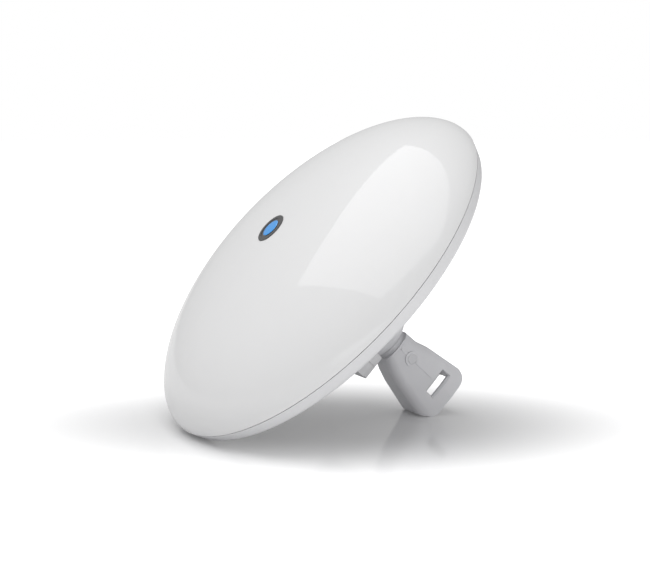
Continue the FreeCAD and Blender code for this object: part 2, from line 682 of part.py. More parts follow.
def port_cover():
    """The cap over the cable bay, open towards the dish, which slides off downwards."""
    outer = bay_corner_block(COVER_BOTTOM, NECK_TOP - COVER_GAP, 0, -SHELL_DEPTH, -BAY_DEPTH)
    hollow = bay_corner_block(NECK_BOTTOM - RUN, NECK_TOP + 1, COVER_WALL,
                              -SHELL_DEPTH + 1, -BAY_DEPTH + COVER_WALL)
    nut_way = cylinder(NUT_RECESS_RADIUS, -NUT_RECESS_DEPTH, -ARM_END)
    outlet = along_y(OUTLET_RADIUS, 2 * COVER_FLOOR, 0, COVER_BOTTOM - 1, JACK_MIDDLE)
    finger = along_x(FINGER_RADIUS, BAY_HALF_WIDTH + 1, BAY_DEPTH)
    finger.translate(V(0, COVER_BOTTOM - FINGER_RADIUS + FINGER_DEPTH, 0))
    return outer.cut([hollow, nut_way, outlet, finger])


def cable_grommet():
    """Rubber ring in the cover's cable outlet."""
    lip_low = COVER_BOTTOM - GROMMET_LIP_THICK
    lip = along_y(OUTLET_RADIUS + GROMMET_LIP, GROMMET_LIP_THICK, 0, lip_low, JACK_MIDDLE)
    sleeve = along_y(OUTLET_RADIUS, COVER_FLOOR, 0, COVER_BOTTOM, JACK_MIDDLE)
    hole = along_y(CABLE_HOLE_RADIUS, 2 * COVER_FLOOR + 2, 0, lip_low - 1, JACK_MIDDLE)
    return lip.fuse(sleeve).cut(hole).common(space_behind_shell())


VENT_DEPTH = (SHELL_DEPTH + HOUSING_DEPTH) / 2 + 0.35


def vent_plug():
    """Breather plug in the top wall of the housing."""
    top = HOUSING_TOP + VENT_HEAD_THICK
    stem = along_y(VENT_RADIUS, HOUSING_WALL, 0, HOUSING_TOP - HOUSING_WALL, VENT_DEPTH)
    head = along_y(VENT_HEAD_RADIUS, VENT_HEAD_THICK, 0, HOUSING_TOP, VENT_DEPTH)
    slot = box(-VENT_RADIUS, VENT_RADIUS, top - VENT_SLOT_DEPTH, top + 1,
               -VENT_DEPTH - VENT_SLOT_WIDTH / 2, -VENT_DEPTH + VENT_SLOT_WIDTH / 2)
    return stem.fuse(head).cut(slot)


# ---- electronics ----
SHIELD_HALF = BOARD_SCREW_X - SCREW_HEAD_RADIUS - SHIELD_GAP
SHIELD_LOW = JACK_TOP + 6.0
SHIELD_TALL = 2 * SHIELD_HALF * SHIELD_SHARE


def main_board():
    rear = -BOARD_BACK - 1
    front = -BOARD_FRONT + 1
    board = rounded_box(-BOARD_HALF_WIDTH, BOARD_HALF_WIDTH, BOARD_BOTTOM, BOARD_TOP,
                        -BOARD_BACK, -BOARD_FRONT, HOUSING_CORNER / 2)
    half = JACK_WIDTH / 2 + 2 * FIT
    notch = box(-half, half, BOARD_BOTTOM - 1, JACK_TOP + 2 * FIT, rear, front)
    holes = [cylinder(SCREW_RADIUS + 2 * FIT, rear, front, x, y) for x, y in BOARD_SCREW_PLACES]
    clears = [cylinder(HOUSING_BOSS_RADIUS + 4 * FIT, rear, front, x, y)
              for x, y in HOUSING_SCREW_PLACES]
    return board.cut([notch] + holes + clears)


def board_screws():
    length = BOARD_THICK + BOARD_STAND + 0.3
    return group([pan_screw(x, y, -BOARD_BACK, length, -1) for x, y in BOARD_SCREW_PLACES])


def shield_block(inset, z_back, z_front):
    """A block over the shield's place on the board, inset from its sides."""
    return box(-SHIELD_HALF + inset, SHIELD_HALF - inset, SHIELD_LOW + inset,
               SHIELD_LOW + SHIELD_TALL - inset, z_back, z_front)


def rf_shield():
    """Stamped can over the radio, on the board's rear face above the jack."""
    back = -BOARD_BACK - SHIELD_HEIGHT
    hollow = shield_block(SHIELD_SHEET, back + SHIELD_SHEET, -BOARD_BACK)
    return shield_block(0, back, -BOARD_BACK).cut(hollow)


def heat_pad():
    front = -BOARD_BACK - SHIELD_HEIGHT
    return shield_block(PAD_INSET, front - PAD_THICK, front)


def heat_spreader():
    return shield_block(SPREADER_INSET, -SPREADER_BACK, -SPREADER_BACK + SPREADER_THICK)


def ethernet_jack():
    back = -JACK_FRONT - JACK_HEIGHT
    block = box(-JACK_WIDTH / 2, JACK_WIDTH / 2, JACK_LOW, JACK_TOP, back, -JACK_FRONT)
    half = JACK_MOUTH_WIDTH / 2
    mouth_front = -JACK_MIDDLE + JACK_MOUTH_HEIGHT / 2
    cavity = box(-half, half, JACK_LOW - 1, JACK_LOW + JACK_CAVITY,
                 mouth_front - JACK_MOUTH_HEIGHT, mouth_front)
    latch_half = JACK_LATCH_WIDTH / 2
    latch = box(-latch_half, latch_half, JACK_LOW - 1, JACK_LOW + JACK_CAVITY - 3,
                mouth_front - FIT, -JACK_FRONT - 0.6)
    return block.cut([cavity, latch])


def reset_switch():
    """Side-acting tactile switch at the board's lower edge."""
    low = NECK_BOTTOM + BUTTON_LENGTH + BUTTON_TRAVEL_GAP
    half = SWITCH_SIZE / 2
    return box(BUTTON_X - half, BUTTON_X + half, low, low + 4.0,
               -BUTTON_DEPTH - SWITCH_DEPTH, -BOARD_BACK)


def reset_button():
    """Push pin that carries a fingertip's push up to the switch."""
    pin = along_y(BUTTON_RADIUS, BUTTON_LENGTH, BUTTON_X, NECK_BOTTOM, BUTTON_DEPTH)
    collar = along_y(BUTTON_RADIUS + BUTTON_COLLAR, 1.0, BUTTON_X,
                     NECK_BOTTOM + HOUSING_WALL + 0.3, BUTTON_DEPTH)
    return pin.fuse(collar).removeSplitter()


def status_leds():
    low = NECK_BOTTOM + PIPE_LENGTH
    half = LED_SIZE / 2
    return group([box(x - half, x + half, low, low + LED_SIZE, -BUTTON_DEPTH - 0.6, -BOARD_BACK)
                  for x in led_places()])


def light_pipes():
    """Clear rods from the lamps to the foot of the cable bay."""
    return group([along_y(PIPE_RADIUS, PIPE_LENGTH, x, NECK_BOTTOM, BUTTON_DEPTH)
                  for x in led_places()])


# ---- ball joint ----
def sphere_band(inner, outer, angle_from, angle_to):
    """A spherical shell between two angles from the boresight, about the ball's centre."""
    a = math.radians(angle_from)
    b = math.radians(angle_to)
    mid = (a + b) / 2

    def at(radius, angle):
        return V(radius * math.sin(angle), 0, -BALL_DEPTH + radius * math.cos(angle))

    edges = [Part.Arc(at(inner, a), at(inner, mid), at(inner, b)).toShape(),
             Part.makeLine(at(inner, b), at(outer, b)),
             Part.Arc(at(outer, b), at(outer, mid), at(outer, a)).toShape(),
             Part.makeLine(at(outer, a), at(inner, a))]
    return turned(edges)


def ball_seat():
    return sphere_band(BALL_RADIUS + RUN, SEAT_OUTER, SEAT_FROM, SEAT_TO)


def clamp_slope():
    """How fast the clamp ring's cone and the nut's cone close in."""
    inner = BALL_RADIUS + RUN
    end = CLAMP_START + CLAMP_LENGTH
    end_radius = math.sqrt(inner ** 2 - end ** 2) + CLAMP_LIP
    return (SEAT_OUTER - end_radius) / (CLAMP_LENGTH - CLAMP_STRAIGHT + CLAMP_START)


def clamp_outer(depth):
    """Radius of the clamp ring's cone at a depth behind the seam."""
    return SEAT_OUTER - clamp_slope() * max(0.0, depth - SHANK_END)


def clamp_ring():
    start = BALL_DEPTH + CLAMP_START
    end = start + CLAMP_LENGTH
    core = BALL_RADIUS - 2
    body = turned_outline([(core, -start), (SEAT_OUTER, -start), (SEAT_OUTER, -SHANK_END),
                           (clamp_outer(end), -end), (core, -end)])
    split = box(-CLAMP_SPLIT / 2, CLAMP_SPLIT / 2, 0, SEAT_OUTER + 1, -end - 1, -start + 1)
    return body.cut(ball_at(BALL_RADIUS + RUN)).cut(split)


def nut_front():
    return NUT_RECESS_DEPTH + RUN + WASHER_THICK + WASHER_PLAY


def lock_washer():
    low = NUT_RECESS_DEPTH + RUN
    high = low + WASHER_THICK
    bore = SHANK_RADIUS + RUN
    outer = NUT_RADIUS - WASHER_INSET
    return turned_outline([(bore, -low), (outer, -low), (outer, -high), (bore, -high)])


def lock_nut():
    front = nut_front()
    grip_end = front + NUT_GRIP_LENGTH
    bore = SHANK_RADIUS + NUT_THREAD_FIT
    thread_end = SHANK_END + NUT_THREAD_RUNOUT
    cone_start = clamp_outer(thread_end) + RUN
    cone_end = clamp_outer(NUT_END) + RUN
    end_radius = cone_end + NUT_END_WALL
    body = turned_outline([(bore, -front), (NUT_RADIUS, -front), (NUT_RADIUS, -grip_end),
                           (end_radius + NUT_TAPER_RISE, -NUT_END + NUT_TAPER_LENGTH),
                           (end_radius, -NUT_END), (cone_end, -NUT_END),
                           (cone_start, -thread_end), (bore, -thread_end)])
    flutes = [cylinder(NUT_FLUTE_RADIUS, -front + 1, -grip_end + 0.6, x, y)
              for x, y in around(NUT_FLUTES, NUT_RADIUS + NUT_FLUTE_CENTRE)]
    return body.cut(flutes)


def ball_stud():
    neck = cylinder(STUD_NECK_RADIUS, -BALL_DEPTH, -BALL_DEPTH - STUD_LENGTH)
    relief = cylinder(STUD_RELIEF_RADIUS, -BALL_DEPTH + BALL_RADIUS + 1, -BALL_DEPTH + 2)
    pin_hole = along_x(PIN_RADIUS, 2 * STUD_NECK_RADIUS, PIN_DEPTH)
    return ball_at(BALL_RADIUS).fuse(neck).removeSplitter().cut([relief, pin_hole])


def cross_pin():
    pin = along_x(PIN_RADIUS, arm_half_width(PIN_DEPTH) + RIDGE_BULGE + PIN_PROUD, PIN_DEPTH)
    rims = [e for e in pin.Edges if e.Closed and len(e.Vertexes) == 1]
    return pin.makeChamfer(PIN_CHAMFER, rims)


# ---- pole mount ----
def rest_lean():
    """The boresight's angle above a floor that both the rim and the heel stand on."""
    rim = rim_corner().discretize(400)
    low = 10.0
    high = 80.0
    for _ in range(50):
        lean = (low + high) / 2
        rise = math.sin(math.radians(lean))
        run = math.cos(math.radians(lean))
        rim_drop = max(p.x * run - p.z * rise for p in rim)
        if HEEL_DEPTH * rise + HEEL_DROP * run < rim_drop:
            low = lean
        else:
            high = lean
    return lean


LEAN = rest_lean()


def step_between(depth, start, end, low, high):
    """Runs evenly from low to high between two depths, and on past the end."""
    return low + (high - low) * (depth - start) / (end - start)


def arm_half_width(depth):
    share = (depth - ARM_COLLAR) / (ARM_END - ARM_COLLAR)
    return ARM_NECK + 0.1 + ARM_SIDE_FLARE * min(1.0, max(0.0, share)) ** 0.8


ARM_TOPS = (ARM_NECK, ARM_NECK + 0.2, ARM_NECK + 2.1, ARM_NECK + 4.6)
ARM_BOTTOMS = (-ARM_NECK, -ARM_NECK - 3.2, -ARM_NECK - 5.1, -ARM_NECK - 8.7)


def arm_edge(depth, levels, foot_end):
    """Height of the arm's upper or lower edge, with its levels at collar, waist, shoulder and foot."""
    if depth < ARM_WAIST:
        return step_between(depth, ARM_COLLAR, ARM_WAIST, levels[0], levels[1])
    if depth < ARM_SHOULDER:
        return step_between(depth, ARM_WAIST, ARM_SHOULDER, levels[1], levels[2])
    return step_between(depth, ARM_SHOULDER, foot_end, levels[2], levels[3])


def arm_top(depth):
    return arm_edge(depth, ARM_TOPS, ARM_SHOULDER + 17.0)


def arm_bottom(depth):
    return arm_edge(depth, ARM_BOTTOMS, ARM_SHOULDER + 18.0)


def arm_section(depth, inset=0.0, corner=ARM_CORNER):
    """Six-sided section with rounded corners and a ridge along each side."""
    half = arm_half_width(depth) - inset
    top = arm_top(depth) - inset
    bottom = arm_bottom(depth) + inset
    ridge = half + RIDGE_BULGE
    z = -depth
    points = [V(ridge, 0, z), V(half, top, z), V(-half, top, z),
              V(-ridge, 0, z), V(-half, bottom, z), V(half, bottom, z)]
    radii = [0, corner, corner, 0, corner, corner]
    return rounded_polygon(points, radii)


def rounded_polygon(points, radii):
    """A closed wire through points, with each corner rounded by its radius."""
    edges = []
    starts = []
    ends = []
    count = len(points)
    for i, point in enumerate(points):
        to_last = (points[i - 1] - point).normalize()
        to_next = (points[(i + 1) % count] - point).normalize()
        half_angle = to_last.getAngle(to_next) / 2
        run = radii[i] / math.tan(half_angle)
        starts.append(point + to_last * run)
        ends.append(point + to_next * run)
    for i, point in enumerate(points):
        if radii[i] > 0:
            to_last = (points[i - 1] - point).normalize()
            to_next = (points[(i + 1) % count] - point).normalize()
            inward = (to_last + to_next).normalize()
            half_angle = to_last.getAngle(to_next) / 2
            centre = point + inward * (radii[i] / math.sin(half_angle))
            middle = centre - inward * radii[i]
            edges.append(Part.Arc(starts[i], middle, ends[i]).toShape())
        edges.append(Part.makeLine(ends[i], starts[(i + 1) % count]))
    return Part.Wire(edges)


def arm_loft(depths, inset=0.0, corner=ARM_CORNER):
    return Part.makeLoft([arm_section(d, inset, corner) for d in depths], True, True)


def end_trim():
    """Rounds the top corner and cuts the lower corner back to the heel."""
    top = arm_top(ARM_END)
    r = ARM_END_ROUND
    r_diagonal = r * math.sin(math.pi / 4)
    above = 3 * top
    near_z = -NUT_RECESS_DEPTH
    mid = V(0, top - r + r_diagonal, -ARM_END + r - r_diagonal)
    low_start = V(0, -HEEL_DROP + 5.5, -ARM_END)
    heel = V(0, -HEEL_DROP, -HEEL_DEPTH)
    toe_depth = HEEL_DEPTH - TOE_SETBACK
    toe = V(0, min(arm_bottom(toe_depth), heel.y - 0.4), -toe_depth)
    bulge = V(0, (low_start.y + heel.y) / 2 - 0.5, (low_start.z + heel.z) / 2 - 0.6)
    edges = [Part.makeLine(V(0, above, near_z), V(0, above, -ARM_END + r)),
             Part.makeLine(V(0, above, -ARM_END + r), V(0, top, -ARM_END + r)),
             Part.Arc(V(0, top, -ARM_END + r), mid, V(0, top - r, -ARM_END)).toShape(),
             Part.makeLine(V(0, top - r, -ARM_END), low_start),
             Part.Arc(low_start, bulge, heel).toShape(),
             Part.makeLine(heel, toe),
             Part.makeLine(toe, V(0, -above, toe.z)),
             Part.makeLine(V(0, -above, toe.z), V(0, -above, near_z)),
             Part.makeLine(V(0, -above, near_z), V(0, above, near_z))]
    face = Part.Face(Part.Wire(edges))
    half = 2 * arm_half_width(ARM_END)
    face.translate(V(-half, 0, 0))
    return face.extrude(V(2 * half, 0, 0))


def teeth_cutters():
    """V notches across the pole-side edges, and the shallow curve of the pole itself."""
    cutters = []
    reach = 2 * arm_top(ARM_END)
    for i in range(TEETH - 1):
        x = TOOTH_PITCH * (i - (TEETH - 2) / 2)
        sag = SADDLE_SAG - POLE_RADIUS + math.sqrt(POLE_RADIUS ** 2 - x ** 2)
        root = -ARM_END + sag + TOOTH_DEPTH
        wide = TOOTH_PITCH * 0.7
        out = root - 2 * TOOTH_DEPTH - 2
        notch = Part.Face(wire_of([(x - wide, -reach, out), (x - TOOTH_ROOT, -reach, root),
                                   (x + TOOTH_ROOT, -reach, root), (x + wide, -reach, out)]))
        cutters.append(notch.extrude(V(0, 2 * reach, 0)))
    return cutters


def foot_hollow():
    """The foot's hollow, with the stiffening web left standing across it."""
    hollow = arm_loft([ARM_HOLLOW_FROM, ARM_END + 2], ARM_WALL, ARM_HOLLOW_CORNER)
    half = 2 * arm_half_width(ARM_END)
    web = box(-half, half, WEB_LOW, WEB_LOW + WEB_THICK, -ARM_END + 4, -ARM_HOLLOW_FROM)
    return hollow.cut(web)


def strap_slot():
    half = 2 * arm_half_width(ARM_END)
    front = -ARM_END + STRAP_SLOT_SETBACK
    return box(-half, half, -STRAP_SLOT_LENGTH / 2, STRAP_SLOT_LENGTH / 2,
               front - STRAP_SLOT_WIDTH, front)


def slot_bevel(side):
    """Widens the strap slot's mouth towards the outside, on one side of the arm."""
    front = -ARM_END + STRAP_SLOT_SETBACK
    start = arm_half_width(ARM_END - STRAP_SLOT_SETBACK) - FIT
    rings = []
    for out in (0.0, SLOT_BEVEL_REACH):
        grow = out * SLOT_BEVEL_SLOPE
        x = side * (start + out)
        half = STRAP_SLOT_LENGTH / 2 + grow
        near = front + grow
        far = front - STRAP_SLOT_WIDTH - grow
        rings.append(wire_of([(x, -half, near), (x, half, near), (x, half, far), (x, -half, far)]))
    return Part.makeLoft(rings, True, True)


def side_rib():
    """A bar along both side ridges, from the collar to the strap slot."""
    rings = []
    for depth in (ARM_COLLAR + 1.5, ARM_END - STRAP_SLOT_SETBACK - 2.5):
        half = arm_half_width(depth) + RIDGE_BULGE + SIDE_RIB_PROUD
        y = SIDE_RIB_WIDTH / 2
        rings.append(wire_of([(-half, -y, -depth), (half, -y, -depth),
                              (half, y, -depth), (-half, y, -depth)]))
    return Part.makeLoft(rings, True, True)


def pin_boss():
    return along_x(PIN_RADIUS + PIN_BOSS_WALL,
                   arm_half_width(PIN_DEPTH) + RIDGE_BULGE + PIN_BOSS_PROUD, PIN_DEPTH)


def pole():
    """The pole that the foot's saddle is cut to."""
    reach = 2 * arm_top(ARM_END)
    return along_y(POLE_RADIUS, 2 * reach, 0, -reach, ARM_END + POLE_RADIUS - SADDLE_SAG)


def pole_mount():
    """The arm: a solid neck that takes the ball stud and a hollow foot that grips the pole."""
    arm = arm_loft([ARM_COLLAR, ARM_WAIST, ARM_SHOULDER, ARM_END + 0.5])
    nose = Part.makeCone(STUD_NECK_RADIUS + ARM_NOSE_WALL, ARM_NECK, ARM_COLLAR - ARM_FACE + 0.02,
                         V(0, 0, -ARM_FACE), V(0, 0, -1))
    body = arm.fuse([nose, side_rib(), pin_boss()]).removeSplitter()
    body = body.common(end_trim()).cut(foot_hollow())
    bore = cylinder(STUD_NECK_RADIUS, -ARM_FACE + 1, -BALL_DEPTH - STUD_LENGTH)
    pin_hole = along_x(PIN_RADIUS, 2 * arm_half_width(PIN_DEPTH), PIN_DEPTH)
    openings = [strap_slot(), slot_bevel(-1), slot_bevel(1)]
    return body.cut([bore, ball_at(BALL_RADIUS), pin_hole, pole()] + openings + teeth_cutters())


PIECES = {
    "radome": radome, "front_badge": front_badge, "radome_seal": radome_seal,
    "rear_shell": rear_shell, "dish_reflector": dish_reflector,
    "reflector_screws": reflector_screws, "feed_tube": feed_tube, "feed_cone": feed_cone,
    "sub_reflector": sub_reflector, "rear_housing": rear_housing,
    "housing_screws": housing_screws, "port_cover": port_cover, "cable_grommet": cable_grommet,
    "vent_plug": vent_plug, "main_board": main_board, "board_screws": board_screws,
    "rf_shield": rf_shield, "heat_pad": heat_pad, "heat_spreader": heat_spreader,
    "ethernet_jack": ethernet_jack, "reset_switch": reset_switch, "reset_button": reset_button,
    "status_leds": status_leds, "light_pipes": light_pipes, "ball_seat": ball_seat,
    "clamp_ring": clamp_ring, "lock_washer": lock_washer, "lock_nut": lock_nut,
    "ball_stud": ball_stud, "cross_pin": cross_pin, "pole_mount": pole_mount,
}


def main():
    os.makedirs("parts", exist_ok=True)
    shapes = {name: leaning(make()) for name, make in PIECES.items()}
    whole = FreeCAD.BoundBox()
    for shape in shapes.values():
        whole.add(shape.optimalBoundingBox(True, False))
    home = V(-(whole.XMin + whole.XMax) / 2, -(whole.YMin + whole.YMax) / 2, -whole.ZMin)
    print("lean", round(LEAN, 5))
    print("box", [round(v, 3) for v in (whole.XLength, whole.YLength, whole.ZLength)])
    print("seam centre", [round(v, 4) for v in home])
    for name, shape in shapes.items():
        shape.translate(home)
        if not shape.isValid():
            print("not valid:", name)
        print(name, len(shape.Solids), round(shape.Volume, 1))
        shape.exportStep("parts/%s.step" % name)


main()
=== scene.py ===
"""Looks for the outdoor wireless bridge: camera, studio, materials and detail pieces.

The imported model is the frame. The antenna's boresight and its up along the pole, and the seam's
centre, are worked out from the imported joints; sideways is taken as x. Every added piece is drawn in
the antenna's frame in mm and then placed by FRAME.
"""

import bpy
import bmesh
import json
import math
from mathutils import Matrix, Vector


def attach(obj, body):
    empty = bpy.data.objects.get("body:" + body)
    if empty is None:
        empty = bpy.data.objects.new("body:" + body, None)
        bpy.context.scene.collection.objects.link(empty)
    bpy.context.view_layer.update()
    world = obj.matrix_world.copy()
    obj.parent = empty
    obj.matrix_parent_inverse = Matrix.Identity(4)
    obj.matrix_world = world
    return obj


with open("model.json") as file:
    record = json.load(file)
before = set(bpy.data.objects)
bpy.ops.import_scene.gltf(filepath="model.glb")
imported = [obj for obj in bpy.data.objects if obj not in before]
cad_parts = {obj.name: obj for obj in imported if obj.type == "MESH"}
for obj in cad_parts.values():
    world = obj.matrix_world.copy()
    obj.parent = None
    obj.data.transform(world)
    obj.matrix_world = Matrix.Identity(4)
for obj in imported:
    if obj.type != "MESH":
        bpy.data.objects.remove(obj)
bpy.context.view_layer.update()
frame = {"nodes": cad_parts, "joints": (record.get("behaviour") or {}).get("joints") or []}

NODES = frame["nodes"]
JOINTS = {joint["name"]: joint for joint in frame["joints"]}
MM = 0.001

# ---- the antenna's frame ----
BALL_DEPTH = 43.5 * MM      # ball centre behind the seam, along the boresight
BALL = Vector(JOINTS["ball_roll"]["pos_m"])
BORESIGHT = Vector(JOINTS["ball_roll"]["axis"]).normalized()
POLE_UP = Vector(JOINTS["ball_pan"]["axis"]).normalized()
SIDE = Vector((1, 0, 0))
SEAM = BALL + BORESIGHT * BALL_DEPTH


def at_antenna(x, y, z):
    """A point given sideways, up the pole and along the boresight from the seam, in mm."""
    return SEAM + SIDE * x * MM + POLE_UP * y * MM + BORESIGHT * z * MM


# ---- camera ----
VIEW_AZIMUTH = math.radians(65.0)
VIEW_ELEVATION = math.radians(7.0)
VIEW_DISTANCE = 0.65
LENS = 77.6
SENSOR_WIDTH = 36
CLIP_NEAR = 0.01
CLIP_FAR = 60
AIM_RIGHT = 4.2 * MM        # the view's centre, from the seam's centre
AIM_DOWN = 4.4 * MM


def make_camera():
    a, e = VIEW_AZIMUTH, VIEW_ELEVATION
    back = Vector((math.sin(a) * math.cos(e), -math.cos(a) * math.cos(e), math.sin(e)))
    right = Vector((math.cos(a), math.sin(a), 0))
    up = back.cross(right)
    data = bpy.data.cameras.new("camera")
    data.lens = LENS
    data.sensor_width = SENSOR_WIDTH
    data.clip_start = CLIP_NEAR
    data.clip_end = CLIP_FAR
    camera = bpy.data.objects.new("camera", data)
    bpy.context.scene.collection.objects.link(camera)
    camera.rotation_mode = "QUATERNION"
    camera.rotation_quaternion = (-back).to_track_quat("-Z", "Y")
    camera.location = SEAM + right * AIM_RIGHT - up * AIM_DOWN + back * VIEW_DISTANCE
    bpy.context.scene.camera = camera


# ---- node helpers ----
SOCKETS = {"coat": "Coat Weight", "coat_roughness": "Coat Roughness", "coat_ior": "Coat IOR",
           "ior": "IOR", "metal": "Metallic", "specular": "Specular IOR Level",
           "transmission": "Transmission Weight"}
NOISE_LOW = 0.25            # where a noise's values mostly begin and end
NOISE_HIGH = 0.75
TINT_LOW = 0.3
TINT_HIGH = 0.7


class Shader:
    """A small builder for one procedural material."""

    def __init__(self, name):
        self.material = bpy.data.materials.new(name)
        self.material.use_nodes = True
        self.tree = self.material.node_tree
        self.tree.nodes.clear()
        self.output = self.tree.nodes.new("ShaderNodeOutputMaterial")
        self.surface = self.tree.nodes.new("ShaderNodeBsdfPrincipled")
        self.tree.links.new(self.surface.outputs[0], self.output.inputs["Surface"])
        self.place = self.tree.nodes.new("ShaderNodeTexCoord").outputs["Object"]

    def set(self, **values):
        for key, value in values.items():
            self.surface.inputs[SOCKETS[key]].default_value = value

    def node(self, kind, **inputs):
        made = self.tree.nodes.new(kind)
        for key, value in inputs.items():
            socket = made.inputs[key.replace("_", " ")]
            if isinstance(value, bpy.types.NodeSocket):
                self.tree.links.new(value, socket)
            else:
                socket.default_value = value
        return made

    def noise(self, scale, detail=3.0, roughness=0.5):
        made = self.node("ShaderNodeTexNoise", Vector=self.place, Scale=scale, Detail=detail,
                         Roughness=roughness)
        return made.outputs["Fac"]

    def span(self, value, low, high):
        """Spreads a 0 to 1 value over low to high."""
        made = self.node("ShaderNodeMapRange", Value=value)
        made.inputs["From Min"].default_value = NOISE_LOW
        made.inputs["From Max"].default_value = NOISE_HIGH
        made.inputs["To Min"].default_value = low
        made.inputs["To Max"].default_value = high
        return made.outputs["Result"]

    def tint(self, value, dark, light):
        """Runs a 0 to 1 value between two colours."""
        ramp = self.tree.nodes.new("ShaderNodeValToRGB")
        ramp.color_ramp.elements[0].position = TINT_LOW
        ramp.color_ramp.elements[0].color = (*dark, 1)
        ramp.color_ramp.elements[1].position = TINT_HIGH
        ramp.color_ramp.elements[1].color = (*light, 1)
        self.tree.links.new(value, ramp.inputs["Fac"])
        return ramp.outputs["Color"]

    def colour(self, socket):
        self.tree.links.new(socket, self.surface.inputs["Base Color"])

    def rough(self, socket):
        self.tree.links.new(socket, self.surface.inputs["Roughness"])

    def bump(self, height, strength, distance):
        made = self.node("ShaderNodeBump", Height=height, Strength=strength, Distance=distance)
        self.tree.links.new(made.outputs["Normal"], self.surface.inputs["Normal"])


def near(colour, share):
    return tuple(channel * share for channel in colour)


def moulded(name, colour, roughness, grain=0.25, grain_scale=2600.0, mottle=0.03, coat=0.0):
    """Injection-moulded plastic: fine spark-eroded grain, soft flow mottling, uneven gloss."""
    shader = Shader(name)
    shader.set(coat=coat, coat_roughness=0.18, specular=0.5)
    flow = shader.noise(55.0, 4.0)
    shader.colour(shader.tint(flow, near(colour, 1 - mottle), near(colour, 1 + mottle)))
    shader.rough(shader.span(shader.noise(340.0, 3.0), roughness - 0.04, roughness + 0.05))
    shader.bump(shader.noise(grain_scale, 2.0), grain, 0.00006)
    return shader.material


def glossy_dome():
    """Polished UV-stable plastic: near-white, with a very slight orange peel under a clear gloss."""
    shader = Shader("radome_gloss")
    shader.set(coat=0.5, coat_roughness=0.035, coat_ior=1.5, specular=0.2)
    base = (0.71, 0.71, 0.713)
    shader.colour(shader.tint(shader.noise(18.0, 3.0), near(base, 0.99), near(base, 1.01)))
    shader.rough(shader.span(shader.noise(220.0, 2.0), 0.42, 0.50))
    shader.bump(shader.noise(420.0, 1.0), 0.02, 0.00008)
    return shader.material


def metal(name, colour, roughness, brushed=0.0):
    shader = Shader(name)
    shader.set(metal=1.0)
    shader.colour(shader.tint(shader.noise(260.0, 4.0), near(colour, 0.9), colour))
    shader.rough(shader.span(shader.noise(500.0, 5.0), roughness - 0.06, roughness + 0.08))
    if brushed:
        wave = shader.node("ShaderNodeTexWave", Vector=shader.place, Scale=900.0, Distortion=3.0)
        shader.bump(wave.outputs["Fac"], brushed, 0.00002)
    return shader.material


def rubber(name, colour):
    shader = Shader(name)
    shader.colour(shader.tint(shader.noise(120.0, 4.0), near(colour, 0.8), near(colour, 1.3)))
    shader.rough(shader.span(shader.noise(700.0, 4.0), 0.62, 0.85))
    shader.bump(shader.noise(1800.0, 3.0), 0.3, 0.00005)
    return shader.material


def clear(name, colour):
    shader = Shader(name)
    shader.set(transmission=0.9, ior=1.49)
    shader.colour(shader.tint(shader.noise(90.0), near(colour, 0.97), colour))
    shader.rough(shader.span(shader.noise(600.0), 0.04, 0.12))
    return shader.material


def board_mask():
    """Green solder mask with fainter lines where copper runs underneath."""
    shader = Shader("circuit_board")
    shader.set(coat=0.5, coat_roughness=0.15)
    brick = shader.node("ShaderNodeTexBrick", Vector=shader.place, Scale=420.0)
    brick.inputs["Color1"].default_value = (0.012, 0.085, 0.035, 1)
    brick.inputs["Color2"].default_value = (0.010, 0.070, 0.030, 1)
    brick.inputs["Mortar"].default_value = (0.020, 0.130, 0.055, 1)
    brick.inputs["Mortar Size"].default_value = 0.03
    shader.colour(brick.outputs["Color"])
    shader.rough(shader.span(shader.noise(800.0), 0.30, 0.42))
    return shader.material


def dress(node, material):
    slots = NODES[node].data.materials
    if not slots:
        slots.append(material)
    for i in range(len(slots)):
        slots[i] = material


SHELL_WHITE = (0.68, 0.68, 0.69)
GREY = (0.68, 0.68, 0.70)
HOUSING_GREY = (0.68, 0.68, 0.69)


